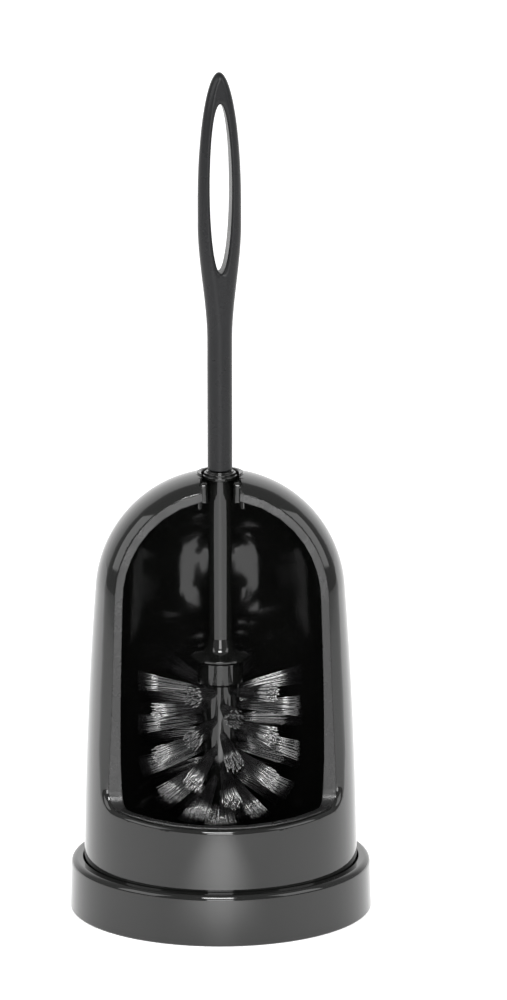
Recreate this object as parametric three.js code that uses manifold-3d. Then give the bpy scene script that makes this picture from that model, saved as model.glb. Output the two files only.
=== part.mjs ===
// Toilet brush standing in its open-fronted holder.
// Millimetres, +Z up, origin at the centre of the tray's underside; the opening faces -Y.
import * as THREE from 'three';
import { mergeVertices } from 'three/addons/utils/BufferGeometryUtils.js';
import Module from 'manifold-3d';

const wasm = await Module();
wasm.setup();

// ---- Driving dimensions ----
const running = 0.3; // gap between neighbouring pieces
const bigSegments = 64; // facets round the tray and the bell
const smallSegments = 24; // facets round the brush's turned pieces

// Tray: a skirted dish that the bell stands in.
const trayFootRadius = 70;
const trayShoulderRadius = 69.3;
const trayHeight = 24.2;
const trayShoulderRound = 6.3;
const trayFootRound = 0.8;
const trayWall = 2.2;
const trayFloorTop = 6;
const trayFloorThickness = 2.2;
const seamGap = 0.3; // between the bell and the tray's inner wall
const upstandTop = 14; // ring on the tray's floor that the bell fits around

// Bell: a barrel wall whose radius falls slowly with height, closed by part of a sphere.
const shellFootZ = trayFloorTop + running;
const shellWall = 2.2;
const barrelArc = 1983; // radius of the barrel's side curve, which is upright at the floor
const domeRadius = 57.66;
const domeCentreZ = 149;
const domeStartAngle = Math.asin(domeCentreZ / (barrelArc - domeRadius)); // the curves meet smoothly
const domeStartZ = domeCentreZ + domeRadius * Math.sin(domeStartAngle);
const barrelFootRadius = barrelArc - (barrelArc - domeRadius) * Math.cos(domeStartAngle);

// Opening: the bell is cut by one side outline that runs straight across it.
const sillFrontY = -62.7;
const sillFrontZ = 53.3;
const sillSlope = THREE.MathUtils.degToRad(6);
const openingBackY = -29.6;
const openingCorner = 8;
const openingBendZ = 80; // above here the cut curves gently back
const openingBendArc = 685;
const lipWidth = 5.4;
const lipThickness = 2.2;
const windowHalfWidth = 46.6; // the lip grows wider towards the sill, so its sides stay upright

// Seat at the top of the bell, with a slot open to the front.
const rimRadius = 10.8;
const rimTopZ = 206.6;
const rimChamfer = 1.1;
const seatZ = 203;
const seatFrontY = -10;
const seatBottomZ = 193;
const collarSlotHalf = 8.5;
const rodSlotHalf = 6;

// Brush, as heights above the floor.
const brushTurn = THREE.MathUtils.degToRad(8);
const collarRadius = 8.2;
const collarHeight = 3.7;
const collarBoreRadius = 4.5;
const collarZ = seatZ + running;
const gripFootZ = collarZ + collarHeight + running;
const gripTopZ = 392;
const neckRadius = 5.72;
const neckTopZ = 268;
const gripFlareTopZ = 322;
const gripWidestZ = 332;
const gripHalfWidth = 10;
const gripDepth = 11.4;
const gripEdgeRound = 1.8;
const loopCentreZ = 338.7;
const loopHalfHeight = 39;
const loopHalfWidth = 5.1;
const tangLength = 42;
const tangRadius = 3.5;
const rodRadius = 5.45;
const headTopZ = 117.4;
const spigotRadius = 3.6;
const spigotLength = 8.4;
const threadPitch = 2.4;
const threadHeight = 0.45;
const guardTopZ = 128;
const guardTopWall = 0.4;
const guardFlareArc = 10.3; // the guard's top flares out from the rod like a trumpet
const guardRimZ = 119.4;
const guardRadius = 13.3;
const guardRimThickness = 1.1;

// Head: a collar and a tapering core, set with rows of bristle tufts.
const headCollarRadius = 10.5;
const headCollarHeight = 10;
const coreTopRadius = 9;
const coreLowRadius = 7.6;
const coreLowZ = 55;
const coreEndRadius = 7;
const socketRadius = spigotRadius + threadHeight + running;
const headRadius = 38.4; // to the bristle tips
const headRoundZ = 75; // centre of the half ball that ends the head
const headTipTopZ = 114;
const tuftRootRadius = 1.7;
const tuftTipRadius = 5;
const tuftSides = 8;
const tuftHoleDepth = 2.2;
const tuftHoleFlare = 0.5;
const tuftHoleSides = 6;
const tuftPitch = 10.4; // from row to row, along the outline of the tips
const rootPitch = 6.9; // from row to row, along the core
const firstRootZ = 103.5;
const fullRows = 8;
const tuftsPerRow = 6;
const tuftsInLastRow = 3;

// ---- Materials ----
const gloss = (color) => new THREE.MeshStandardMaterial({ color, roughness: 0.16, metalness: 0 });
const satin = (color) => new THREE.MeshStandardMaterial({ color, roughness: 0.45, metalness: 0 });
const blackGloss = 0x17181a;
const blackSatin = 0x26272a;
const blackBristle = 0x101012;

// ---- Helpers ----
function toSolid(geometry) {
  const plain = geometry.clone();
  plain.deleteAttribute('normal');
  plain.deleteAttribute('uv');
  const merged = mergeVertices(plain, 1e-4);
  const corners = merged.index.array;
  const triangles = [];
  for (let i = 0; i < corners.length; i += 3) {
    const [a, b, c] = corners.slice(i, i + 3);
    if (a !== b && b !== c && c !== a) triangles.push(a, b, c);
  }
  const vertProperties = new Float32Array(merged.attributes.position.array);
  return new wasm.Manifold(new wasm.Mesh({
    numProp: 3,
    vertProperties,
    triVerts: new Uint32Array(triangles),
  }));
}

function toMesh(name, solid, material) {
  const { vertProperties, triVerts } = solid.getMesh();
  const geometry = new THREE.BufferGeometry();
  geometry.setAttribute('position', new THREE.BufferAttribute(vertProperties, 3));
  geometry.setIndex(new THREE.BufferAttribute(triVerts, 1));
  geometry.computeVertexNormals();
  const mesh = new THREE.Mesh(geometry, material);
  mesh.name = name;
  return mesh;
}

// A solid of revolution about Z from [radius, height] points, listed anticlockwise.
function turned(profile, segments) {
  const points = profile.map(([r, z]) => new THREE.Vector2(r, z));
  const geometry = new THREE.LatheGeometry(points, segments);
  geometry.rotateX(Math.PI / 2);
  return toSolid(geometry);
}

// Points along an arc of the profile plane, angles in degrees.
function arc(centreR, centreZ, radius, from, to, steps) {
  const points = [];
  for (let i = 0; i <= steps; i += 1) {
    const angle = THREE.MathUtils.degToRad(from + (to - from) * i / steps);
    points.push([centreR + radius * Math.cos(angle), centreZ + radius * Math.sin(angle)]);
  }
  return points;
}

// An outline of the XY plane, extruded from one height to another.
function upright(shape, fromZ, toZ) {
  const geometry = new THREE.ExtrudeGeometry(shape, {
    depth: toZ - fromZ,
    bevelEnabled: false,
    curveSegments: 16,
  });
  geometry.translate(0, 0, fromZ);
  return toSolid(geometry);
}

// An outline of the YZ plane, extruded across the whole width of the holder.
function crossways(shape) {
  const width = 4 * domeRadius;
  const geometry = new THREE.ExtrudeGeometry(shape, {
    depth: width,
    bevelEnabled: false,
    curveSegments: 8,
  });
  geometry.translate(0, 0, -width / 2);
  geometry.applyMatrix4(new THREE.Matrix4().makeBasis(
    new THREE.Vector3(0, 1, 0),
    new THREE.Vector3(0, 0, 1),
    new THREE.Vector3(1, 0, 0),
  ));
  return toSolid(geometry);
}

// ---- Tray ----
function makeTray() {
  const innerRadius = barrelFootRadius + seamGap;
  const underRadius = innerRadius + trayWall;
  const roundZ = trayHeight - trayShoulderRound;
  const floorUnder = trayFloorTop - trayFloorThickness;
  const skirtInner = trayFootRadius - trayWall;
  const upstandOuter = barrelFootRadius - shellWall - running;
  const shoulderCentre = trayShoulderRadius - trayShoulderRound;
  const shoulderEnd = Math.acos((innerRadius + running - shoulderCentre) / trayShoulderRound);
  const profile = [
    [0, floorUnder],
    [underRadius, floorUnder],
    [underRadius, roundZ],
    [skirtInner - 0.8, roundZ],
    [skirtInner, 0],
    [trayFootRadius - trayFootRound, 0],
    [trayFootRadius, trayFootRound],
    ...arc(shoulderCentre, roundZ, trayShoulderRound, 0, THREE.MathUtils.radToDeg(shoulderEnd), 4),
    [innerRadius, trayHeight - 0.5],
    [innerRadius, trayFloorTop],
    [upstandOuter, trayFloorTop],
    [upstandOuter, upstandTop],
    [upstandOuter - trayWall, upstandTop],
    [upstandOuter - trayWall, trayFloorTop],
    [0, trayFloorTop],
  ];
  return toMesh('base_tray', turned(profile, bigSegments), gloss(blackGloss));
}

// ---- Bell ----
function bellSolid(inset, footZ) {
  const barrelSteps = 4;
  const domeSteps = 9;
  const profile = [[0, footZ]];
  for (let i = 0; i <= barrelSteps; i += 1) {
    const z = footZ + (domeStartZ - footZ) * i / barrelSteps;
    const sideCurve = barrelArc - Math.sqrt(barrelArc ** 2 - z ** 2);
    profile.push([barrelFootRadius - sideCurve - inset, z]);
  }
  const startDegrees = THREE.MathUtils.radToDeg(domeStartAngle);
  profile.push(...arc(0, domeCentreZ, domeRadius - inset, startDegrees, 90, domeSteps).slice(1));
  return turned(profile, bigSegments);
}

// Everything in front of the opening's side outline, moved back into the bell by `offset`.
function openingCutter(offset) {
  const farFront = 2 * sillFrontY;
  const farTop = rimTopZ + 4 * lipThickness;
  const sillZ = (y) => sillFrontZ + (y - sillFrontY) * Math.tan(sillSlope);
  const cornerY = openingBackY - openingCorner;
  const cornerZ = sillZ(cornerY) + openingCorner / Math.cos(sillSlope);
  const bendY = openingBackY + openingBendArc;
  const bendAngle = Math.asin((farTop - openingBendZ) / openingBendArc);
  const shape = new THREE.Shape();
  shape.moveTo(farFront, farTop);
  shape.lineTo(farFront, sillZ(farFront) - offset / Math.cos(sillSlope));
  shape.absarc(cornerY, cornerZ, openingCorner + offset, sillSlope - Math.PI / 2, 0, false);
  shape.absarc(bendY, openingBendZ, openingBendArc - offset, Math.PI, Math.PI - bendAngle, true);
  return crossways(shape);
}

// Everything between the upright sides of the lip's window.
function windowBand() {
  const shape = new THREE.Shape();
  shape.moveTo(-windowHalfWidth, -trayFootRadius);
  shape.lineTo(windowHalfWidth, -trayFootRadius);
  shape.lineTo(windowHalfWidth, trayFootRadius);
  shape.lineTo(-windowHalfWidth, trayFootRadius);
  return upright(shape, 0, rimTopZ);
}

// A U-shaped outline of the XY plane: round at the back, straight sides running forwards.
function slotShape(halfWidth, frontY) {
  const shape = new THREE.Shape();
  shape.moveTo(-halfWidth, frontY);
  shape.lineTo(halfWidth, frontY);
  shape.absarc(0, 0, halfWidth, 0, Math.PI, false);
  return shape;
}

function makeShell() {
  const full = bellSolid(0, shellFootZ);
  const hollow = bellSolid(shellWall, shellFootZ - 1);
  const insideLip = bellSolid(lipWidth, shellFootZ - 1).intersect(windowBand());
  const opening = openingCutter(0);
  const lip = full.intersect(openingCutter(lipThickness)).subtract(insideLip);

  const aboveRim = rimTopZ + 1;
  const boss = upright(slotShape(rimRadius, sillFrontY), seatBottomZ, aboveRim).intersect(full);
  const rim = upright(new THREE.Shape().absarc(0, 0, rimRadius, 0, 2 * Math.PI), seatBottomZ, rimTopZ);
  const collarSlot = upright(slotShape(collarSlotHalf, sillFrontY), seatZ, aboveRim);
  const rodSlot = upright(slotShape(rodSlotHalf, sillFrontY), seatBottomZ - 1, aboveRim);
  const slotMouth = new THREE.Shape();
  slotMouth.moveTo(-collarSlotHalf, sillFrontY);
  slotMouth.lineTo(collarSlotHalf, sillFrontY);
  slotMouth.lineTo(collarSlotHalf, seatFrontY);
  slotMouth.lineTo(-collarSlotHalf, seatFrontY);
  const countersink = turned([
    [0, rimTopZ - rimChamfer],
    [collarSlotHalf, rimTopZ - rimChamfer],
    [collarSlotHalf + 2 * rimChamfer, rimTopZ + rimChamfer],
    [0, rimTopZ + rimChamfer],
  ], smallSegments);

  const shell = full.subtract(hollow).add(lip).add(boss).add(rim)
    .subtract(opening)
    .subtract(collarSlot)
    .subtract(rodSlot)
    .subtract(upright(slotMouth, seatBottomZ - 1, aboveRim))
    .subtract(countersink);
  return toMesh('holder_shell', shell, gloss(blackGloss));
}

// ---- Brush: collar, grip, rod and splash guard ----
function makeCollar() {
  const profile = [
    [collarBoreRadius, 0],
    [collarRadius - 0.5, 0],
    [collarRadius, 0.5],
    [collarRadius, 1.7],
    [collarRadius - 0.7, 2.1],
    [collarRadius - 0.7, 3],
    [collarRadius - 1.5, collarHeight],
    [collarBoreRadius, collarHeight],
    [collarBoreRadius, 0],
  ];
  const mesh = toMesh('stop_collar', turned(profile, smallSegments), gloss(blackGloss));
  mesh.position.z = collarZ;
  return mesh;
}

// The grip's front outline above the round neck: an S curve out to the loop, then half an ellipse.
function gripOutline() {
  const steps = 12;
  const startZ = neckTopZ - 12;
  const side = [];
  for (let i = 0; i < steps; i += 1) {
    const z = startZ + (gripWidestZ - startZ) * i / steps;
    const spread = THREE.MathUtils.smoothstep(z, neckTopZ, gripFlareTopZ);
    side.push(new THREE.Vector2(neckRadius + (gripHalfWidth - neckRadius) * spread, z));
  }
  const shape = new THREE.Shape();
  shape.moveTo(-side[0].x, startZ);
  side.forEach((p) => shape.lineTo(p.x, p.y));
  shape.absellipse(0, gripWidestZ, gripHalfWidth, gripTopZ - gripWidestZ, 0, Math.PI, false);
  side.slice(1).reverse().forEach((p) => shape.lineTo(-p.x, p.y));
  return shape;
}

// The grip's side outline: an even depth that rounds over at the top.
function gripSideOutline() {
  const half = gripDepth / 2;
  const shape = new THREE.Shape();
  shape.moveTo(-half, gripFootZ);
  shape.lineTo(half, gripFootZ);
  shape.lineTo(half, loopCentreZ);
  shape.bezierCurveTo(half, gripTopZ - 20, half - 1.5, gripTopZ, 0, gripTopZ);
  shape.bezierCurveTo(1.5 - half, gripTopZ, -half, gripTopZ - 20, -half, loopCentreZ);
  return shape;
}

function makeGrip() {
  const shape = gripOutline();
  const hole = new THREE.Path();
  hole.absellipse(0, loopCentreZ, loopHalfWidth, loopHalfHeight, 0, 2 * Math.PI, true);
  shape.holes.push(hole);
  const blade = new THREE.ExtrudeGeometry(shape, {
    depth: gripDepth - 2 * gripEdgeRound,
    bevelThickness: gripEdgeRound,
    bevelSize: gripEdgeRound,
    bevelOffset: -gripEdgeRound,
    bevelSegments: 3,
    curveSegments: 20,
  });
  blade.translate(0, 0, -gripDepth / 2 + gripEdgeRound);
  blade.rotateX(Math.PI / 2);
  const flare = turned([
    [0, gripFootZ],
    [neckRadius, gripFootZ],
    [neckRadius, neckTopZ],
    [1.2 * neckRadius, neckTopZ + 8],
    [2 * neckRadius, neckTopZ + 28],
    [2 * neckRadius, gripTopZ],
    [0, gripTopZ],
  ], smallSegments);
  const neck = turned([
    [0, gripFootZ],
    [neckRadius - 0.5, gripFootZ],
    [neckRadius, gripFootZ + 0.5],
    [neckRadius, neckTopZ],
    [0, neckTopZ],
  ], smallSegments);
  const socket = turned([
    [0, gripFootZ - 1],
    [tangRadius + running, gripFootZ - 1],
    [tangRadius + running, gripFootZ + tangLength + running],
    [0, gripFootZ + tangLength + running],
  ], smallSegments);
  const grip = toSolid(blade).intersect(flare).intersect(crossways(gripSideOutline()))
    .add(neck)
    .subtract(socket);
  return toMesh('grip', grip, satin(blackSatin));
}

function makeRod() {
  const spigotTop = headTopZ + running;
  const spigotFoot = spigotTop - spigotLength;
  const collarSpan = collarBoreRadius - running;
  const profile = [
    [0, spigotFoot],
    [spigotRadius - 0.6, spigotFoot],
    [spigotRadius, spigotFoot + 0.6],
  ];
  for (let z = spigotFoot + 1; z + threadPitch < spigotTop - 0.6; z += threadPitch) {
    profile.push(
      [spigotRadius, z],
      [spigotRadius + threadHeight, z + threadPitch / 4],
      [spigotRadius + threadHeight, z + threadPitch / 2],
      [spigotRadius, z + 3 * threadPitch / 4],
    );
  }
  profile.push(
    [spigotRadius, spigotTop],
    [rodRadius - 0.4, spigotTop],
    [rodRadius, spigotTop + 0.4],
    [rodRadius, collarZ - running - 0.4],
    [rodRadius - 0.4, collarZ - running],
    [collarSpan, collarZ - running],
    [collarSpan, gripFootZ - running],
    [tangRadius, gripFootZ - running],
    [tangRadius, gripFootZ + tangLength - 1],
    [tangRadius - 1, gripFootZ + tangLength],
    [0, gripFootZ + tangLength],
  );
  return toMesh('rod', turned(profile, smallSegments), gloss(blackGloss));
}

function makeGuard() {
  const bore = rodRadius + running;
  const foot = headTopZ + running;
  const flareCentre = bore + guardTopWall + guardFlareArc;
  const profile = [
    [bore, foot],
    [headCollarRadius - 1, foot],
    [guardRadius, guardRimZ - guardRimThickness],
    [guardRadius, guardRimZ],
    ...arc(flareCentre, guardTopZ, guardFlareArc, 225, 180, 5),
    [bore, guardTopZ],
    [bore, foot],
  ];
  return toMesh('splash_guard', turned(profile, 2 * smallSegments), gloss(blackGloss));
}

// ---- Brush head ----
// Where each tuft leaves the core and where its tip ends, in the plane of its radius.
function tuftLines() {
  const straight = headTipTopZ - headRoundZ;
  const tipAt = (along) => {
    if (along < straight) return [headRadius, headTipTopZ - along];
    const angle = Math.min((along - straight) / headRadius, Math.PI / 2);
    return [headRadius * Math.cos(angle), headRoundZ - headRadius * Math.sin(angle)];
  };
  const lines = [];
  for (let row = 0; row < fullRows; row += 1) {
    const rootZ = firstRootZ - rootPitch * row;
    const taper = (headTopZ - headCollarHeight - rootZ) / (headTopZ - headCollarHeight - coreLowZ);
    const rootRadius = coreTopRadius + (coreLowRadius - coreTopRadius) * taper;
    lines.push({
      root: [rootRadius, rootZ],
      tip: tipAt(tuftTipRadius + tuftPitch * row),
      count: tuftsPerRow,
    });
  }
  lines.push({
    root: [coreEndRadius * 0.62, coreLowZ - coreEndRadius * 0.78],
    tip: tipAt(tuftTipRadius + tuftPitch * fullRows),
    count: tuftsInLastRow,
  });
  lines.push({
    root: [0, coreLowZ - coreEndRadius],
    tip: tipAt(Infinity),
    count: 1,
  });
  return lines;
}

// One entry for each tuft: where it sits, how it points and how long it is.
function tuftPlaces() {
  const places = [];
  tuftLines().forEach(({ root, tip, count }, row) => {
    const run = tip[0] - root[0];
    const rise = tip[1] - root[1];
    for (let i = 0; i < count; i += 1) {
      const turn = 2 * Math.PI * (i + (row % 2) / 2) / count;
      places.push({
        name: `bristle_tuft_${row + 1}_${i + 1}`,
        position: new THREE.Vector3(root[0] * Math.cos(turn), root[0] * Math.sin(turn), root[1]),
        rotation: new THREE.Euler(0, -Math.atan2(rise, run), turn, 'ZYX'),
        length: Math.hypot(run, rise),
      });
    }
  });
  return places;
}

// A tapering bar along +X, from one distance to another from its place on the core.
function taperedBar(from, to, fromRadius, toRadius, sides) {
  const geometry = new THREE.CylinderGeometry(toRadius, fromRadius, to - from, sides);
  geometry.rotateZ(-Math.PI / 2);
  geometry.translate((from + to) / 2, 0, 0);
  return geometry;
}

function makeHeadCore() {
  const collarFoot = headTopZ - headCollarHeight;
  const body = turned([
    ...arc(0, coreLowZ, coreEndRadius, -90, 0, 4),
    [coreLowRadius, coreLowZ],
    [coreTopRadius, collarFoot - 1],
    [headCollarRadius - 0.4, collarFoot],
    [headCollarRadius, collarFoot + 0.4],
    [headCollarRadius, headTopZ - 0.6],
    [headCollarRadius - 0.6, headTopZ],
    [0, headTopZ],
  ], smallSegments);
  const socket = turned([
    [0, headTopZ - spigotLength - running],
    [socketRadius, headTopZ - spigotLength - running],
    [socketRadius, headTopZ + 1],
    [0, headTopZ + 1],
  ], smallSegments);
  let core = body.subtract(socket);
  const holeRadius = tuftRootRadius + 2 * running;
  const holeMouth = holeRadius + tuftHoleFlare;
  tuftPlaces().forEach(({ position, rotation }) => {
    const drill = taperedBar(-tuftHoleDepth, tuftHoleDepth, holeRadius, holeMouth, tuftHoleSides);
    const place = new THREE.Matrix4().makeRotationFromEuler(rotation).setPosition(position);
    core = core.subtract(toSolid(drill.applyMatrix4(place)));
  });
  return toMesh('head_core', core, gloss(blackGloss));
}

function makeTufts() {
  return tuftPlaces().map(({ name, position, rotation, length }) => {
    const from = running - tuftHoleDepth;
    const geometry = taperedBar(from, length, tuftRootRadius, tuftTipRadius, tuftSides);
    const mesh = toMesh(name, toSolid(geometry), satin(blackBristle));
    mesh.position.copy(position);
    mesh.rotation.copy(rotation);
    return mesh;
  });
}

// ---- Assembly ----
const holder = new THREE.Group();
holder.add(makeTray(), makeShell());

const head = new THREE.Group();
head.add(makeHeadCore(), ...makeTufts());

const brush = new THREE.Group();
brush.rotation.z = brushTurn;
brush.add(makeCollar(), makeGrip(), makeRod(), makeGuard(), head);

const toiletBrushHolder = new THREE.Group();
toiletBrushHolder.add(holder, brush);

export default toiletBrushHolder;
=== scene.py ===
import math

import bmesh
import bpy
import numpy as np
from mathutils import Euler, Matrix, Vector


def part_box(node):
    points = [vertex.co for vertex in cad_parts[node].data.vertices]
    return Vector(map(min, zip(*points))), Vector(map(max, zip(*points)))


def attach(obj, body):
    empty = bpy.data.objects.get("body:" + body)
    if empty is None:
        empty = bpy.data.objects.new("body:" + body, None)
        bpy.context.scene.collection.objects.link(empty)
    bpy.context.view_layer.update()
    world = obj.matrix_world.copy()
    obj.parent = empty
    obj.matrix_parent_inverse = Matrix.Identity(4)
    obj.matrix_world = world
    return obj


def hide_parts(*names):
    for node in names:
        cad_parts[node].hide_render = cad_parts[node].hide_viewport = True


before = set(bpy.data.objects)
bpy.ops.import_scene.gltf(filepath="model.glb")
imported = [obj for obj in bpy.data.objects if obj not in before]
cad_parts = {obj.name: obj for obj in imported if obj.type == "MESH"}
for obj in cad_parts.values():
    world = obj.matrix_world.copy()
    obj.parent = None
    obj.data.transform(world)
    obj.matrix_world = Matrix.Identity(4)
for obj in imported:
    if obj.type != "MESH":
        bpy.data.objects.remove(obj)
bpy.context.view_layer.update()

MM = 0.001
TINY = 1e-9  # keeps divisions away from nought
ELLIPSE_MIDDLE = 1e-6  # the same, for the middle of an ellipse

# ---- Places taken from the frame ----
TRAY_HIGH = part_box("base_tray")[1]
SHELL_LOW, SHELL_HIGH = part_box("holder_shell")
GRIP_LOW, GRIP_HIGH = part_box("grip")
ROD_LOW, ROD_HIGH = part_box("rod")
COLLAR_LOW, COLLAR_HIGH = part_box("stop_collar")
GUARD_LOW, GUARD_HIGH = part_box("splash_guard")
CORE_LOW, CORE_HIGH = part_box("head_core")

# ---- Sizes of the bell and its opening, as in the CAD ----
BARREL_ARC = 1983 * MM
DOME_R = 57.66 * MM
DOME_Z = 149 * MM
DOME_ANGLE = math.asin(DOME_Z / (BARREL_ARC - DOME_R))
BARREL_CENTRE_R = -(BARREL_ARC - DOME_R) * math.cos(DOME_ANGLE)
SHELL_WALL = 2.2 * MM
SILL_Y = -62.7 * MM
SILL_Z = 53.3 * MM
SILL_SLOPE = math.radians(6)
OPENING_Y = -29.6 * MM
OPENING_CORNER = 8 * MM
OPENING_BEND_Z = 80 * MM
OPENING_BEND_R = 685 * MM
OPENING_EDGE_ROUND = 3 * MM
SILL_EDGE_ROUND = 1.8 * MM
ARCH_START_Z = 60 * MM  # from here up, the sill's edge turns into the arch's
ARCH_FULL_Z = 85 * MM
OUTLINE_OVERRUN = 8 * MM  # the opening's outline starts this far in front of the sill
LIP_WIDTH = 5.4 * MM
LIP_THICKNESS = 2.2 * MM
LIP_EDGE_ROUND = 0.5 * MM
LIP_BACK_ROUND = 0.5 * MM
LIP_BACK_INSET = 0.2 * MM  # the lip's back edge beside the wall is this far in from its front edge
LIP_DRAWN_WIDTH = 6 * MM  # its section is drawn this wide, and its middle stretched to fit
LIP_START = 2.4 * MM  # from the outer surface to the groove beside the lip
LIP_STEP = 0.6 * MM  # the lip stands this far in front of the groove
LIP_BACKING = 1.6 * MM  # the lip's inner edge stands this far out over the wall behind it
LIP_OVERLAP = 0.3 * MM  # the lip's outer edge covers the corner of the groove by this much
BEVEL_LEAN = 0.5  # how far the arch's edge is bevelled towards the outside
WINDOW_HALF_WIDTH = 46.6 * MM
WINDOW_CORNER_SILL = 6 * MM  # the window's corners are round at the sill, crisp at the arch
WINDOW_CORNER_ARCH = 1 * MM
WINDOW_CRISP_Z = 78 * MM
SHELL_FOOT_ROUND = 0.6 * MM
RIM_R = 10.8 * MM
RIM_EDGE_ROUND = 0.5 * MM
RIM_FILLET = 0.4 * MM
BOSS_FOOT_ROUND = 0.8 * MM
BOSS_FILLET = 0.5 * MM
SEAT_Z = 203 * MM
SEAT_BOTTOM_Z = 193 * MM
SEAT_FRONT_Y = -10 * MM
SLOT_FOOT_Z = SEAT_BOTTOM_Z - 2 * MM  # the slots are cut from here up, right through the seat
COLLAR_SLOT = 8.5 * MM
ROD_SLOT = 6 * MM
SLOT_EDGE_ROUND = 0.8 * MM
MOUTH_EDGE_ROUND = 1.8 * MM
SHELL_VOXEL = 1.25 * MM
SHELL_FINEST = 0.18 * MM
OUTLINE_STEPS = 400
LIP_STATIONS = 150  # along each half of the lip

# ---- Sizes of the tray ----
TRAY_INNER_R = 63.7 * MM
TRAY_WALL = 2.2 * MM
TRAY_DRAFT = 0.7 * MM  # the skirt's top is this much narrower than its foot
TRAY_SHOULDER_ROUND = 6.3 * MM
TRAY_RIM_UNDER_Z = 17.5 * MM
TRAY_FLOOR_UNDER_Z = 3.8 * MM
TRAY_FLOOR_Z = 6.0 * MM
UPSTAND_OUTER_R = 60.9 * MM
UPSTAND_TOP_Z = 14.0 * MM
PINHOLE_R = 1.0 * MM  # a turned piece can't touch the axis, so the floor has a pinhole there
PINHOLE_ROUND = 0.1 * MM

# ---- Sizes of the grip, as in the CAD ----
BRUSH_TURN = math.radians(8)
NECK_R = 5.72 * MM
NECK_TOP_Z = 268 * MM
GRIP_FLARE_TOP_Z = 322 * MM
GRIP_WIDEST_Z = 332 * MM
GRIP_HALF_WIDTH = 10 * MM
GRIP_HALF_DEPTH = 5.7 * MM
LOOP_Z = 338.7 * MM
LOOP_HALF_HEIGHT = 39 * MM
LOOP_HALF_WIDTH = 5.1 * MM
LOOP_EDGE_ROUND = 1.6 * MM
GRIP_TIP_THINNING = 0.3  # the grip's depth falls by this share from the loop's middle to its tip
GRIP_FOOT_ROUND = 0.5 * MM
SOCKET_R = 3.8 * MM  # for the rod's tang
SOCKET_TOP_Z = 249.6 * MM
GRIP_VOXEL = 0.6 * MM
GRIP_FINEST = 0.3 * MM

# ---- Sizes of the brush's turned pieces ----
ROD_R = 5.45 * MM
SPIGOT_R = 3.6 * MM
ROD_NECK_R = 4.2 * MM
TANG_R = 3.5 * MM
ROD_GAP = 0.3 * MM  # below the stop collar and below the grip
COLLAR_BORE_R = 4.5 * MM
GUARD_UNDER_R = 9.5 * MM
CORE_COLLAR_R = 10.5 * MM
CORE_COLLAR_HEIGHT = 10 * MM
CORE_BORE_R = 4.4 * MM
CORE_BORE_DEPTH = 8.7 * MM


# ---- Small helpers ----
def link(name, mesh):
    obj = bpy.data.objects.new(name, mesh)
    bpy.context.scene.collection.objects.link(obj)
    return obj


def place(obj, body, nodes, slot, *materials):
    """Gives a finished piece its materials and its body, and hides the CAD nodes that it stands for.
    """
    for material in materials:
        obj.data.materials.append(material)
    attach(obj, body)
    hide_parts(*nodes)
    return obj


def smooth_with(mesh, normals):
    mesh.shade_smooth()
    mesh.normals_split_custom_set_from_vertices([tuple(n) for n in normals])


# ---- Turned pieces: a profile of corners, each with its own rounding ----
def rounded_profile(corners, arc_steps=6):
    """Samples (r, z, normal r, normal z) along a closed profile of (r, z, rounding), anticlockwise."""
    samples = []
    count = len(corners)
    for i in range(count):
        before, here, after = (np.array(corners[(i + k) % count][:2], float) for k in (-1, 0, 1))
        into, out = here - before, after - here
        length_in, length_out = np.linalg.norm(into), np.linalg.norm(out)
        into, out = into / length_in, out / length_out
        turn = math.atan2(into[0] * out[1] - into[1] * out[0], into @ out)
        rounding = corners[i][2]
        reach = rounding * abs(math.tan(turn / 2))
        limit = 0.49 * min(length_in, length_out)
        if reach > limit:
            rounding, reach = rounding * limit / reach, limit
        start = here - into * reach
        normal = np.array([into[1], -into[0]])
        side = 1 if turn > 0 else -1
        centre = start - side * rounding * normal
        for k in range(arc_steps + 1):
            angle = turn * k / arc_steps
            c, s = math.cos(angle), math.sin(angle)
            n = np.array([c * normal[0] - s * normal[1], s * normal[0] + c * normal[1]])
            point = centre + side * rounding * n
            samples.append((point[0], point[1], n[0], n[1]))
    return samples


def turned(name, corners, segments=96, arc_steps=6):
    """A closed ring turned about Z from a profile that doesn't touch the axis."""
    samples = np.array(rounded_profile(corners, arc_steps))
    count = len(samples)
    angles = np.arange(segments) * 2 * math.pi / segments
    c, s = np.cos(angles)[:, None], np.sin(angles)[:, None]
    r, z, nr, nz = samples.T
    points = np.stack([r * c, r * s, z + 0 * c], axis=-1).reshape(-1, 3)
    normals = np.stack([nr * c, nr * s, nz + 0 * c], axis=-1).reshape(-1, 3)
    faces = []
    for i in range(segments):
        j = (i + 1) % segments
        for k in range(count):
            m = (k + 1) % count
            faces.append((i * count + k, j * count + k, j * count + m, i * count + m))
    mesh = bpy.data.meshes.new(name)
    mesh.from_pydata(points.tolist(), [], faces)
    smooth_with(mesh, normals)
    return link(name, mesh)


# ---- Moulded pieces: a mesh drawn onto the zero surface of a distance field ----
FIELD_STEP = 0.02 * MM  # for measuring a field's slope
FLATTEST = 0.2  # a slope squared counts as at least this
LONGEST_MOVE = 0.6 * MM
SHARPEST_BEND = math.radians(14)  # an edge that bends more than this is split


def hard_and(*fields):
    return np.maximum.reduce(fields)


def hard_or(*fields):
    return np.minimum.reduce(fields)


def round_and(a, b, radius):
    """The overlap of two solids, with its outer edge rounded."""
    corner = np.hypot(np.maximum(a + radius, 0), np.maximum(b + radius, 0)) - radius
    return np.minimum(np.maximum(a, b), -radius) + radius + corner


def round_or(a, b, radius):
    """Two solids joined, with a fillet between them."""
    return -round_and(-a, -b, radius)


def smoothstep(values, low, high):
    t = np.clip((values - low) / (high - low), 0, 1)
    return t * t * (3 - 2 * t)


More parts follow.
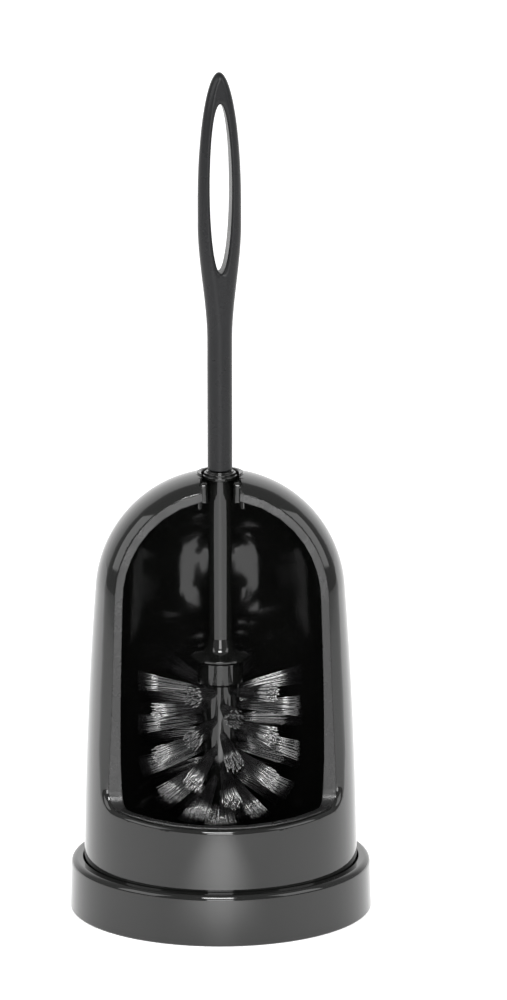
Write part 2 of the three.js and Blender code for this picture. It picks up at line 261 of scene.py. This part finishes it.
def gradient(field, points):
    slopes = np.empty_like(points)
    for axis in range(3):
        shift = np.zeros(3)
        shift[axis] = FIELD_STEP
        slopes[:, axis] = (field(points + shift) - field(points - shift)) / (2 * FIELD_STEP)
    return slopes


def settle(field, points, rounds=6):
    """Moves points onto the field's zero surface, and gives the surface's normals there."""
    for _ in range(rounds):
        slopes = gradient(field, points)
        steep = np.maximum((slopes ** 2).sum(1, keepdims=True), FLATTEST)
        move = -field(points)[:, None] * slopes / steep
        size = np.linalg.norm(move, axis=1, keepdims=True)
        points = points + move * np.minimum(1, LONGEST_MOVE / np.maximum(size, TINY))
    slopes = gradient(field, points)
    return points, slopes / np.maximum(np.linalg.norm(slopes, axis=1, keepdims=True), TINY)


def mesh_points(mesh):
    points = np.empty(len(mesh.vertices) * 3)
    mesh.vertices.foreach_get("co", points)
    return points.reshape(-1, 3)


def moulded(name, node, field, voxel, refinements, finest):
    """Remeshes a CAD node evenly, lays it on the field's surface and adds detail where it bends."""
    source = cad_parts[node]
    base = link(name + "_base", source.data.copy())
    remesh = base.modifiers.new("even", "REMESH")
    remesh.mode = "VOXEL"
    remesh.voxel_size = voxel
    shaped = base.evaluated_get(bpy.context.evaluated_depsgraph_get())
    mesh = bpy.data.meshes.new_from_object(shaped)
    mesh.materials.clear()
    bpy.data.objects.remove(base)
    points, normals = settle(field, mesh_points(mesh))
    for _ in range(refinements):
        mesh.vertices.foreach_set("co", points.ravel())
        ends = np.empty(len(mesh.edges) * 2, int)
        mesh.edges.foreach_get("vertices", ends)
        a, b = ends.reshape(-1, 2).T
        bend = (normals[a] * normals[b]).sum(1) < math.cos(SHARPEST_BEND)
        long = np.linalg.norm(points[a] - points[b], axis=1) > 2 * finest
        cut = np.nonzero(bend & long)[0]
        work = bmesh.new()
        work.from_mesh(mesh)
        work.edges.ensure_lookup_table()
        edges = [work.edges[i] for i in cut]
        bmesh.ops.subdivide_edges(work, edges=edges, cuts=1, use_grid_fill=True)
        work.to_mesh(mesh)
        work.free()
        points, normals = settle(field, mesh_points(mesh), rounds=3)
    mesh.vertices.foreach_set("co", points.ravel())
    mesh.name = name
    smooth_with(mesh, normals)
    return link(name, mesh)


# ---- The bell ----
def bell_field(x, y, z):
    """Distance outside the bell's surface of revolution: a dome on a slightly bulging barrel."""
    r = np.hypot(x, y)
    dome = np.hypot(r, z - DOME_Z) - DOME_R
    barrel = np.hypot(r - BARREL_CENTRE_R, z) - BARREL_ARC
    above = (z - DOME_Z) * math.cos(DOME_ANGLE) > r * math.sin(DOME_ANGLE)
    return np.where(above, dome, barrel)


def opening_field(y, z):
    """Distance outside the space that the side outline of the opening cuts away."""
    sill = (SILL_Z - z) * math.cos(SILL_SLOPE) + (y - SILL_Y) * math.sin(SILL_SLOPE)
    centre_y = OPENING_Y + OPENING_BEND_R
    bend = OPENING_BEND_R - np.hypot(y - centre_y, z - OPENING_BEND_Z)
    back = np.where(z > OPENING_BEND_Z, bend, y - OPENING_Y)
    return round_and(sill, back, OPENING_CORNER)


def slot_field(x, y, half_width):
    """Distance outside an upright slot, round at the back and open to the front."""
    return np.where(y > 0, np.hypot(x, y), np.abs(x)) - half_width


def window_round(z):
    """The rounding of the window's corners at a height."""
    change = WINDOW_CORNER_SILL - WINDOW_CORNER_ARCH
    return WINDOW_CORNER_SILL - change * smoothstep(z, ARCH_START_Z, WINDOW_CRISP_Z)


def shell_field(points):
    """Distance outside the bell: its wall, edge, rim and foot, then its hollow and its slots."""
    x, y, z = points.T
    outside = bell_field(x, y, z)
    opening = opening_field(y, z)
    arch = smoothstep(z, ARCH_START_Z, ARCH_FULL_Z)
    lean = BEVEL_LEAN * arch
    bevel = (LIP_STEP - opening + lean * np.maximum(outside + LIP_START, 0)) / np.hypot(1, lean)
    edge_round = SILL_EDGE_ROUND + (OPENING_EDGE_ROUND - SILL_EDGE_ROUND) * arch
    body = round_and(outside, bevel, edge_round)
    rim = hard_and(np.hypot(x, y) - RIM_R, DOME_Z - z)
    rim = round_and(rim, z - SHELL_HIGH.z, RIM_EDGE_ROUND)
    body = round_or(body, rim, RIM_FILLET)
    body = round_and(body, SHELL_LOW.z - z, SHELL_FOOT_ROUND)

    behind_lip = hard_and(outside + SHELL_WALL, LIP_THICKNESS - opening)
    beside_window = np.abs(x) - WINDOW_HALF_WIDTH - LIP_BACKING
    window = round_and(outside + LIP_WIDTH - LIP_BACKING, beside_window, window_round(z))
    hollow = hard_or(behind_lip, window)
    boss = round_and(slot_field(x, y, RIM_R), SEAT_BOTTOM_Z - z, BOSS_FOOT_ROUND)
    hollow = round_and(hollow, -boss, BOSS_FILLET)
    body = round_and(body, -hollow, LIP_EDGE_ROUND)

    collar_slot = hard_and(slot_field(x, y, COLLAR_SLOT), SEAT_Z - z)
    rod_slot = hard_and(slot_field(x, y, ROD_SLOT), SLOT_FOOT_Z - z)
    body = round_and(body, -hard_or(collar_slot, rod_slot), SLOT_EDGE_ROUND)
    mouth = hard_and(np.abs(x) - COLLAR_SLOT, y - SEAT_FRONT_Y, SLOT_FOOT_Z - z)
    return round_and(body, -mouth, MOUTH_EDGE_ROUND)


def make_shell(gloss):
    shell = moulded("bell_shell", "holder_shell", shell_field, SHELL_VOXEL, 4, SHELL_FINEST)
    return place(shell, "shell", ["holder_shell"], "gloss_black_plastic", gloss)


# ---- The lip: a band swept round the opening, just inside its edge ----
def opening_outline(steps):
    """The opening's side outline from the sill to the top, with its directions into the plastic."""
    corner_y = OPENING_Y - OPENING_CORNER
    rise = (corner_y - SILL_Y) * math.sin(SILL_SLOPE) + OPENING_CORNER
    corner_z = SILL_Z + rise / math.cos(SILL_SLOPE)
    turn = np.linspace(SILL_SLOPE, math.pi / 2, steps)
    corner_in = np.stack([np.sin(turn), -np.cos(turn)], 1)
    corner = np.array([corner_y, corner_z]) + OPENING_CORNER * corner_in
    sill_end = corner_y + OPENING_CORNER * math.sin(SILL_SLOPE)
    sill_y = np.linspace(SILL_Y - OUTLINE_OVERRUN, sill_end, steps)
    sill = np.stack([sill_y, SILL_Z + (sill_y - SILL_Y) * math.tan(SILL_SLOPE)], 1)
    back_z = np.linspace(corner_z, OPENING_BEND_Z, steps)
    back = np.stack([np.full(steps, OPENING_Y), back_z], 1)
    bend_z = np.linspace(OPENING_BEND_Z, DOME_Z + DOME_R, 4 * steps)
    centre_y = OPENING_Y + OPENING_BEND_R
    bend_y = centre_y - np.sqrt(OPENING_BEND_R ** 2 - (bend_z - OPENING_BEND_Z) ** 2)
    bend = np.stack([bend_y, bend_z], 1)
    bend_in = (np.array([centre_y, OPENING_BEND_Z]) - bend) / OPENING_BEND_R
    sill_in = np.repeat(corner_in[:1], steps - 1, 0)
    back_in = np.repeat(corner_in[-1:], steps - 1, 0)
    places = np.concatenate([sill[:-1], corner, back[1:], bend[1:]])
    inward = np.concatenate([sill_in, corner_in, back_in, bend_in[1:]])
    return places, inward


def bell_radius(z, inset):
    """The bell's radius at a height, moved inwards by inset."""
    dome = np.sqrt(np.maximum((DOME_R - inset) ** 2 - (z - DOME_Z) ** 2, 0))
    barrel = BARREL_CENTRE_R + np.sqrt((BARREL_ARC - inset) ** 2 - z ** 2)
    return np.where(z > DOME_Z + DOME_R * math.sin(DOME_ANGLE), dome, barrel)


def evenly(places, count):
    """Points spread evenly along a line of points."""
    gaps = np.linalg.norm(np.diff(places, axis=0), axis=1)
    along = np.concatenate([[0], np.cumsum(gaps)])
    wanted = np.linspace(0, along[-1], count)
    return np.stack([np.interp(wanted, along, column) for column in places.T], 1)


def lip_edge(inset, half_width):
    """Half of one edge of the lip, from the sill's middle to the slot: x, y, z, inward y and z."""
    places, inward = opening_outline(OUTLINE_STEPS)
    y, z = places.T
    room = bell_radius(z, inset) ** 2 - y ** 2
    inside = np.nonzero(room > 0)[0]
    x = np.sqrt(room[inside])
    soft = window_round(z[inside])
    apart = np.maximum(soft - np.abs(x - half_width), 0)
    x = np.minimum(x, half_width) - apart ** 2 / (4 * soft)
    x[0] = 0  # where the two halves meet
    keep = np.nonzero((x > COLLAR_SLOT) | (z[inside] < DOME_Z))[0]
    rows = np.column_stack([x, places[inside], inward[inside]])[keep]
    return evenly(rows, LIP_STATIONS)


def mirrored(half):
    """The whole of an edge, from its left end round to its right end."""
    return np.concatenate([half[::-1] * [-1, 1, 1, 1, 1], half[1:]])


def make_lip(lip_look):
    outer = mirrored(lip_edge(LIP_START - LIP_OVERLAP, math.inf))
    inner = mirrored(lip_edge(LIP_WIDTH, WINDOW_HALF_WIDTH))
    depth = np.column_stack([np.zeros(len(outer)), outer[:, 3:]])
    depth = depth / np.linalg.norm(depth, axis=1, keepdims=True)
    across = inner[:, :3] - outer[:, :3]
    width = np.linalg.norm(across, axis=1, keepdims=True)
    across = across / width
    section = rounded_profile([
        (0.0, 0.0, LIP_EDGE_ROUND),
        (LIP_DRAWN_WIDTH, 0.0, LIP_EDGE_ROUND),
        (LIP_DRAWN_WIDTH, LIP_THICKNESS, LIP_BACK_ROUND),
        (LIP_BACK_INSET, LIP_THICKNESS, LIP_BACK_INSET),
    ])
    points = []
    normals = []
    for offset, sunk, normal_across, normal_depth in section:
        if offset < LIP_DRAWN_WIDTH / 2:
            reach = np.minimum(offset, width / 2)
        else:
            reach = np.maximum(width - (LIP_DRAWN_WIDTH - offset), width / 2)
        points.append(outer[:, :3] + across * reach + depth * sunk)
        normals.append(across * normal_across + depth * normal_depth)
    points = np.stack(points, 1)
    normals = np.stack(normals, 1)
    rings, size = points.shape[:2]
    faces = []
    for i in range(rings - 1):
        for k in range(size):
            m = (k + 1) % size
            faces.append((i * size + k, (i + 1) * size + k, (i + 1) * size + m, i * size + m))
    caps = rings * size
    faces.append(tuple(caps + k for k in range(size)))
    faces.append(tuple(caps + size + k for k in reversed(range(size))))
    ends = np.concatenate([points[0], points[-1]])
    end_normals = np.repeat([[1.0, 0, 0], [-1.0, 0, 0]], size, 0)
    mesh = bpy.data.meshes.new("opening_lip")
    mesh.from_pydata(np.concatenate([points.reshape(-1, 3), ends]).tolist(), [], faces)
    smooth_with(mesh, np.concatenate([normals.reshape(-1, 3), end_normals]))
    lip = link("opening_lip", mesh)
    return place(lip, "shell", ["holder_shell"], "gloss_black_plastic", lip_look)


# ---- The tray ----
def make_tray(gloss):
    foot = TRAY_HIGH.x
    top = TRAY_HIGH.z
    inner = TRAY_INNER_R
    under = TRAY_INNER_R + TRAY_WALL
    skirt_inner = foot - TRAY_WALL
    upstand_inner = UPSTAND_OUTER_R - TRAY_WALL
    corners = [
        (PINHOLE_R, TRAY_FLOOR_UNDER_Z, PINHOLE_ROUND),
        (64.0 * MM, TRAY_FLOOR_UNDER_Z, 0.6 * MM),
        (under, TRAY_RIM_UNDER_Z, 0.6 * MM),
        (67.2 * MM, TRAY_RIM_UNDER_Z, 0.4 * MM),
        (skirt_inner + 0.1 * MM, 0.0, 0.3 * MM),
        (foot, 0.0, 1.0 * MM),
        (foot - TRAY_DRAFT, top, TRAY_SHOULDER_ROUND),
        (inner + 0.1 * MM, top, 0.5 * MM),
        (inner, TRAY_FLOOR_Z, 0.5 * MM),
        (UPSTAND_OUTER_R, TRAY_FLOOR_Z, 0.5 * MM),
        (UPSTAND_OUTER_R, UPSTAND_TOP_Z, 0.6 * MM),
        (upstand_inner, UPSTAND_TOP_Z, 0.6 * MM),
        (upstand_inner, TRAY_FLOOR_Z, 1.5 * MM),
        (PINHOLE_R, TRAY_FLOOR_Z, PINHOLE_ROUND),
    ]
    tray = turned("drip_tray", corners, segments=160, arc_steps=8)
    return place(tray, "tray", ["base_tray"], "gloss_black_plastic", gloss)


# ---- The grip ----
def ellipse_field(x, z, half_width, half_height):
    """Distance outside an ellipse, which is close near its edge."""
    u, v = x / half_width, z / half_height
    ratio = np.hypot(u, v)
    slope = np.hypot(u / half_width, v / half_height) / np.maximum(ratio, ELLIPSE_MIDDLE)
    return (ratio - 1) / np.maximum(slope, ELLIPSE_MIDDLE)


def grip_field(points):
    """Distance outside the grip: a round neck that flares into a flat loop, turned with the brush."""
    along_x, along_y, z = points.T
    c, s = math.cos(BRUSH_TURN), math.sin(BRUSH_TURN)
    x, y = c * along_x + s * along_y, c * along_y - s * along_x
    width = NECK_R + (GRIP_HALF_WIDTH - NECK_R) * smoothstep(z, NECK_TOP_Z, GRIP_FLARE_TOP_Z)
    below = np.abs(x) - width
    tall = GRIP_HIGH.z - GRIP_WIDEST_Z
    above = ellipse_field(x, z - GRIP_WIDEST_Z, GRIP_HALF_WIDTH, tall)
    outline = np.where(z > GRIP_WIDEST_Z, above, below)
    depth = NECK_R + (GRIP_HALF_DEPTH - NECK_R) * smoothstep(z, NECK_TOP_Z, GRIP_FLARE_TOP_Z)
    depth = depth * (1 - GRIP_TIP_THINNING * smoothstep(z, LOOP_Z, GRIP_HIGH.z))
    body = round_and(outline, np.abs(y) - depth, depth)
    hole = ellipse_field(x, z - LOOP_Z, LOOP_HALF_WIDTH, LOOP_HALF_HEIGHT)
    body = round_and(body, -hole, LOOP_EDGE_ROUND)
    body = round_and(body, GRIP_LOW.z - z, GRIP_FOOT_ROUND)
    socket = hard_and(np.hypot(x, y) - SOCKET_R, z - SOCKET_TOP_Z)
    return hard_and(body, -socket)


def make_grip(satin):
    grip = moulded("grip_handle", "grip", grip_field, GRIP_VOXEL, 1, GRIP_FINEST)
    return place(grip, "brush", ["grip"], "satin_black_plastic", satin)


# ---- The brush's turned pieces ----
def make_rod(gloss):
    """The rod, with a tang that goes up into the grip and a spigot that goes down into the head."""
    low, high = ROD_LOW.z, ROD_HIGH.z
    pinhole = 0.4 * MM
    foot = GUARD_LOW.z
    shoulder = COLLAR_LOW.z - ROD_GAP
    neck_top = GRIP_LOW.z - ROD_GAP
    corners = [
        (pinhole, low, PINHOLE_ROUND),
        (SPIGOT_R, low, 0.5 * MM),
        (SPIGOT_R, foot, 0.2 * MM),
        (ROD_R, foot, 0.6 * MM),
        (ROD_R, shoulder, 0.5 * MM),
        (ROD_NECK_R, shoulder, 0.1 * MM),
        (ROD_NECK_R, neck_top, 0.1 * MM),
        (TANG_R, neck_top, 0.1 * MM),
        (TANG_R, high, 0.8 * MM),
        (pinhole, high, PINHOLE_ROUND),
    ]
    rod = turned("brush_rod", corners, segments=64)
    return place(rod, "brush", ["rod"], "gloss_black_plastic", gloss)


def make_collar(gloss):
    """The stop collar: a ring that widens downwards in three steps."""
    low, high = COLLAR_LOW.z, COLLAR_HIGH.z
    corners = [
        (COLLAR_BORE_R, low, 0.2 * MM),
        (8.1 * MM, low, 0.5 * MM),
        (8.2 * MM, low + 1.7 * MM, 0.6 * MM),
        (7.3 * MM, low + 1.9 * MM, 0.2 * MM),
        (7.4 * MM, low + 3.0 * MM, 0.4 * MM),
        (6.4 * MM, low + 3.1 * MM, 0.2 * MM),
        (6.3 * MM, high, 0.3 * MM),
        (COLLAR_BORE_R, high, 0.2 * MM),
    ]
    collar = turned("seat_collar", corners, segments=64)
    return place(collar, "collar", ["stop_collar"], "gloss_black_plastic", gloss)


def make_guard(gloss):
    """The splash guard: a shallow hollow-sided cone, thin at its rim."""
    low, high = GUARD_LOW.z, GUARD_HIGH.z
    rim = GUARD_HIGH.x
    bore = ROD_HIGH.x + 0.02 * MM
    corners = [
        (bore, low, 0.2 * MM),
        (GUARD_UNDER_R, low, 0.3 * MM),
        (rim, low + 0.6 * MM, 0.3 * MM),
        (rim, low + 1.7 * MM, 0.4 * MM),
        (7.3 * MM, low + 3.6 * MM, 5.5 * MM),
        (bore + 0.15 * MM, high, 0.05 * MM),
        (bore, high, 0.05 * MM),
    ]
    guard = turned("splash_cone", corners, segments=96, arc_steps=10)
    return place(guard, "brush", ["splash_guard"], "gloss_black_plastic", gloss)


def make_core(gloss):
    """The head's core: a collar bored for the spigot, and a taper with a round tip."""
    low, high = CORE_LOW.z, CORE_HIGH.z
    pinhole = 0.5 * MM
    collar_foot = high - CORE_COLLAR_HEIGHT
    bore_foot = high - CORE_BORE_DEPTH
    corners = [
        (pinhole, low, PINHOLE_ROUND),
        (7.0 * MM, low, 6.5 * MM),
        (7.6 * MM, 55 * MM, 3.0 * MM),
        (9.0 * MM, collar_foot - 1 * MM, 0.5 * MM),
        (CORE_COLLAR_R, collar_foot, 0.5 * MM),
        (CORE_COLLAR_R, high, 0.7 * MM),
        (CORE_BORE_R, high, 0.3 * MM),
        (CORE_BORE_R, bore_foot, 0.3 * MM),
        (pinhole, bore_foot, PINHOLE_ROUND),
    ]
    core = turned("bristle_core", corners, segments=64)
    return place(core, "head", ["head_core"], "gloss_black_plastic", gloss)


# ---- Bristles ----
FILAMENTS = 64
FILAMENT_R = 0.26 * MM
FILAMENT_SIDES = 4
FILAMENT_STEPS = 4
TUFT_ROOT_R = 1.5 * MM
TUFT_TIP_R = 4.5 * MM
TURN_SPREAD = 0.3  # radians
AIM_SPREAD = 0.35 * MM
TRIM_SPREAD = 0.35 * MM
BOW_SPREAD = 0.2 * MM
GOLDEN_ANGLE = math.pi * (3 - math.sqrt(5))
HEAD_R = 38.4 * MM
HEAD_ROUND_Z = 75 * MM  # below this the trimmed head is a half ball


def tuft_axis(node):
    """A CAD tuft's root, its direction away from the core, and two directions across it."""
    points = mesh_points(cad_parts[node].data)
    middle = points.mean(0)
    spread = points - middle
    direction = np.linalg.svd(spread)[2][0]
    core = np.array([0, 0, np.clip(middle[2], CORE_LOW.z, CORE_HIGH.z)])
    direction = direction * np.sign(direction @ (middle - core))
    root = middle + direction * (spread @ direction).min()
    upright = abs(direction[2]) >= 0.95
    other = np.array([1.0, 0.0, 0.0]) if upright else np.array([0.0, 0.0, 1.0])
    side = np.cross(direction, other)
    side = side / np.linalg.norm(side)
    return root, direction, side, np.cross(side, direction)


def reach_to_outline(start, heading):
    """How far a filament goes before it meets the trimmed outline of the head."""
    flat = heading[:2] @ heading[:2]
    reach_side = math.inf
    if flat > TINY:
        half = start[:2] @ heading[:2]
        rest = start[:2] @ start[:2] - HEAD_R ** 2
        reach_side = (-half + math.sqrt(half * half - flat * rest)) / flat
    if start[2] + heading[2] * reach_side > HEAD_ROUND_Z:
        return reach_side
    low = start - np.array([0, 0, HEAD_ROUND_Z])
    half = low @ heading
    return -half + math.sqrt(half * half - (low @ low - HEAD_R ** 2))


def make_tuft(node, rng, bristle, cut_end):
    """A bundle of separate filaments that fans out from its hole in the core."""
    root, direction, side, up = tuft_axis(node)
    nominal = reach_to_outline(root, direction)
    corners = np.arange(FILAMENT_SIDES) * 2 * math.pi / FILAMENT_SIDES
    vertices = []
    faces = []
    for number in range(FILAMENTS):
        share = math.sqrt((number + 0.5) / FILAMENTS)
        angle = number * GOLDEN_ANGLE + rng.uniform(-TURN_SPREAD, TURN_SPREAD)
        fan = np.cos(angle) * side + np.sin(angle) * up
        start = root + fan * TUFT_ROOT_R * share
        aim = root + direction * nominal + fan * TUFT_TIP_R * share + rng.normal(0, AIM_SPREAD, 3)
        heading = (aim - start) / np.linalg.norm(aim - start)
        reach = reach_to_outline(start, heading) - abs(rng.normal(0, TRIM_SPREAD))
        bow = side * rng.normal(0, BOW_SPREAD) + up * rng.normal(0, BOW_SPREAD)
        first = len(vertices)
        for k in range(FILAMENT_STEPS):
            t = k / (FILAMENT_STEPS - 1)
            at = start + heading * reach * t + bow * 4 * t * (1 - t)
            for a in corners:
                vertices.append(at + FILAMENT_R * (math.cos(a) * side + math.sin(a) * up))
        last = first + (FILAMENT_STEPS - 1) * FILAMENT_SIDES
        for low in range(first, last, FILAMENT_SIDES):
            for m in range(FILAMENT_SIDES):
                n = (m + 1) % FILAMENT_SIDES
                faces.append((low + m, low + FILAMENT_SIDES + m, low + FILAMENT_SIDES + n, low + n))
        faces.append(tuple(first + m for m in range(FILAMENT_SIDES)))
        faces.append(tuple(last + m for m in reversed(range(FILAMENT_SIDES))))
    mesh = bpy.data.meshes.new(node + "_filaments")
    mesh.from_pydata([tuple(v) for v in vertices], [], faces)
    faces_each = len(faces) // FILAMENTS
    is_end = np.arange(len(faces)) % faces_each >= faces_each - 2
    mesh.polygons.foreach_set("use_smooth", ~is_end)
    tuft = link(node + "_filaments", mesh)
    place(tuft, "head", [node], "black_bristle", bristle, cut_end)
    mesh.polygons.foreach_set("material_index", is_end.astype(np.int32))
    return tuft


# ---- Materials ----
COLOUR_SCALE = 30
ROUGH_SCALE = 90


def new_material(name):
    material = bpy.data.materials.new(name)
    material.use_nodes = True
    return material, material.node_tree, material.node_tree.nodes["Principled BSDF"]


def noise(tree, scale, detail):
    coordinates = tree.nodes.new("ShaderNodeTexCoord")
    texture = tree.nodes.new("ShaderNodeTexNoise")
    texture.inputs["Scale"].default_value = scale
    texture.inputs["Detail"].default_value = detail
    tree.links.new(coordinates.outputs["Object"], texture.inputs["Vector"])
    return texture.outputs["Fac"]


def spread_value(tree, value, low, high):
    """Spreads a noise, which mostly stays between 0.3 and 0.7, from low to high."""
    scale = tree.nodes.new("ShaderNodeMapRange")
    scale.inputs["From Min"].default_value = 0.3
    scale.inputs["From Max"].default_value = 0.7
    scale.inputs["To Min"].default_value = low
    scale.inputs["To Max"].default_value = high
    tree.links.new(value, scale.inputs["Value"])
    return scale.outputs["Result"]


def bump(tree, height, strength, distance):
    node = tree.nodes.new("ShaderNodeBump")
    node.inputs["Strength"].default_value = strength
    node.inputs["Distance"].default_value = distance
    tree.links.new(height, node.inputs["Height"])
    return node.outputs["Normal"]


def tint(tree, factor, dark, light):
    mix = tree.nodes.new("ShaderNodeMix")
    mix.data_type = "RGBA"
    mix.inputs["A"].default_value = (*dark, 1)
    mix.inputs["B"].default_value = (*light, 1)
    tree.links.new(factor, mix.inputs["Factor"])
    return mix.outputs["Result"]


def plastic(name, dark, light, rough, grain, shine=0.5, ior=1.5):
    """Plastic, slightly uneven. Grain is the scale, strength and depth of its bump."""
    material, tree, shader = new_material(name)
    colour_noise = noise(tree, COLOUR_SCALE, 2)
    tree.links.new(tint(tree, colour_noise, dark, light), shader.inputs["Base Color"])
    rough_noise = noise(tree, ROUGH_SCALE, 4)
    tree.links.new(spread_value(tree, rough_noise, *rough), shader.inputs["Roughness"])
    scale, strength, depth = grain
    height = noise(tree, scale, 3)
    tree.links.new(bump(tree, height, strength, depth), shader.inputs["Normal"])
    shader.inputs["IOR"].default_value = ior
    shader.inputs["Specular IOR Level"].default_value = shine
    return material


# ---- Studio: floor, world, lights and camera ----
FLOOR_HALF = 6.0
FLOOR_DROP = 0.1 * MM
FLOOR_GREY = 0.93
FLOOR_GLOW = 0.6
ROOM_LEVEL = 0.45
BACK_LEVEL = 1.3
LIGHTS_AIM = Vector((0, 0, 0.12))
POOL_FROM = Vector((-0.01, -1.6, 1.4))
POOL_AIM = Vector((-0.01, -0.21, 0))
POOL_SPREAD = math.radians(5)
POOL_POWER = 460
CAMERA_DISTANCE = 3.2
CAMERA_HEIGHT = 0.9406
CAMERA_PITCH = math.radians(13.15)
CAMERA_TURN = math.radians(-1.7)
CAMERA_ROLL = math.radians(-0.12)
CAMERA_LENS = 257.6
CAMERA_SENSOR = 36
CAMERA_SHIFT = 0.0335


def make_floor():
    mesh = bpy.data.meshes.new("floor")
    half = FLOOR_HALF
    corners = [(-half, -half, 0), (half, -half, 0), (half, half, 0), (-half, half, 0)]
    mesh.from_pydata(corners, [], [(0, 1, 2, 3)])
    floor = link("floor", mesh)
    floor.location.z = -FLOOR_DROP
    material, _, shader = new_material("pale_floor")
    shader.inputs["Base Color"].default_value = (FLOOR_GREY, FLOOR_GREY, FLOOR_GREY, 1)
    shader.inputs["Roughness"].default_value = 0.5
    shader.inputs["Emission Color"].default_value = (1, 1, 1, 1)
    shader.inputs["Emission Strength"].default_value = FLOOR_GLOW
    floor.data.materials.append(material)


def make_world():
    """A plain room, brighter behind the object than in front of it."""
    world = bpy.data.worlds.new("studio")
    bpy.context.scene.world = world
    world.use_nodes = True
    tree = world.node_tree
    direction = tree.nodes.new("ShaderNodeTexCoord")
    split = tree.nodes.new("ShaderNodeSeparateXYZ")
    level = tree.nodes.new("ShaderNodeMapRange")
    level.interpolation_type = "SMOOTHSTEP"
    level.inputs["From Min"].default_value = 0.55
    level.inputs["From Max"].default_value = 0.95
    level.inputs["To Min"].default_value = ROOM_LEVEL
    level.inputs["To Max"].default_value = BACK_LEVEL
    tree.links.new(direction.outputs["Generated"], split.inputs["Vector"])
    tree.links.new(split.outputs["Y"], level.inputs["Value"])
    background = tree.nodes["Background"]
    background.inputs["Color"].default_value = (1, 1, 1, 1)
    tree.links.new(level.outputs["Result"], background.inputs["Strength"])


def hang(name, light, place_at, aim):
    """Hangs a light at a place and turns it towards its aim."""
    lamp = bpy.data.objects.new(name, light)
    bpy.context.scene.collection.objects.link(lamp)
    lamp.location = place_at
    lamp.rotation_euler = (place_at - aim).to_track_quat("Z", "Y").to_euler()


def soft_light(name, azimuth, elevation, distance, width, height, radiance):
    """A softbox at a bearing from the front, aimed at the object."""
    turn, lift = math.radians(azimuth), math.radians(elevation)
    away = Vector((math.sin(turn) * math.cos(lift), -math.cos(turn) * math.cos(lift), math.sin(lift)))
    light = bpy.data.lights.new(name, "AREA")
    light.shape = "RECTANGLE"
    light.size = width
    light.size_y = height
    light.energy = radiance * math.pi * width * height
    hang(name, light, LIGHTS_AIM + away * distance, LIGHTS_AIM)


def pool_light():
    """A narrow soft beam on the floor just in front, which the lower walls reflect."""
    beam = bpy.data.lights.new("pool", "SPOT")
    beam.spot_size = POOL_SPREAD
    beam.spot_blend = 1.0
    beam.shadow_soft_size = 0.02
    beam.energy = POOL_POWER
    hang("pool", beam, POOL_FROM, POOL_AIM)


def make_camera():
    camera = bpy.data.cameras.new("photo_view")
    camera.lens = CAMERA_LENS
    camera.sensor_width = CAMERA_SENSOR
    camera.shift_x = CAMERA_SHIFT
    viewer = bpy.data.objects.new("photo_view", camera)
    bpy.context.scene.collection.objects.link(viewer)
    viewer.location = (
        CAMERA_DISTANCE * math.sin(CAMERA_TURN),
        -CAMERA_DISTANCE * math.cos(CAMERA_TURN),
        CAMERA_HEIGHT,
    )
    level = Euler((math.pi / 2 - CAMERA_PITCH, 0, CAMERA_TURN)).to_matrix()
    viewer.rotation_euler = (level @ Matrix.Rotation(CAMERA_ROLL, 3, "Z")).to_euler()
    bpy.context.scene.camera = viewer


# ---- Assembly ----
make_camera()
make_floor()
make_world()
soft_light("key", azimuth=-4, elevation=45, distance=1.3, width=0.45, height=0.36, radiance=24)
soft_light("low_front", azimuth=-2, elevation=11, distance=3.7, width=1.3, height=1.3, radiance=7)
soft_light("left", azimuth=-70, elevation=30, distance=1.6, width=1.0, height=1.0, radiance=2.4)
soft_light("right", azimuth=65, elevation=30, distance=1.6, width=1.0, height=1.0, radiance=2.4)
pool_light()
bpy.context.scene.view_settings.view_transform = "Standard"

gloss_plastic = plastic(
    "gloss_plastic",
    dark=(0.004, 0.0042, 0.004),
    light=(0.006, 0.0062, 0.0057),
    rough=(0.05, 0.1),
    grain=(260, 0.03, 0.4 * MM),
)
lip_plastic = plastic(
    "lip_plastic",
    dark=(0.009, 0.009, 0.009),
    light=(0.016, 0.016, 0.016),
    rough=(0.2, 0.4),
    grain=(900, 0.35, 0.4 * MM),
    shine=0.4,
)
satin_plastic = plastic(
    "satin_plastic",
    dark=(0.007, 0.0072, 0.0078),
    light=(0.01, 0.0102, 0.011),
    rough=(0.24, 0.32),
    grain=(1400, 0.12, 0.2 * MM),
    shine=0.22,
)
bristle_plastic = plastic(
    "bristle_plastic",
    dark=(0.003, 0.003, 0.0035),
    light=(0.012, 0.012, 0.012),
    rough=(0.16, 0.26),
    grain=(300, 0.02, 0.2 * MM),
    shine=1.0,
    ior=2.2,
)
cut_plastic = plastic(
    "cut_bristle_end",
    dark=(0.003, 0.003, 0.003),
    light=(0.01, 0.01, 0.01),
    rough=(0.75, 0.9),
    grain=(300, 0.02, 0.2 * MM),
    shine=0.2,
)

make_shell(gloss_plastic)
make_lip(lip_plastic)
make_tray(gloss_plastic)
make_grip(satin_plastic)
make_rod(gloss_plastic)
make_collar(gloss_plastic)
make_guard(gloss_plastic)
make_core(gloss_plastic)
random = np.random.default_rng(7)
for cad_node in sorted(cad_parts):
    if cad_node.startswith("bristle_tuft"):
        make_tuft(cad_node, random, bristle_plastic, cut_plastic)
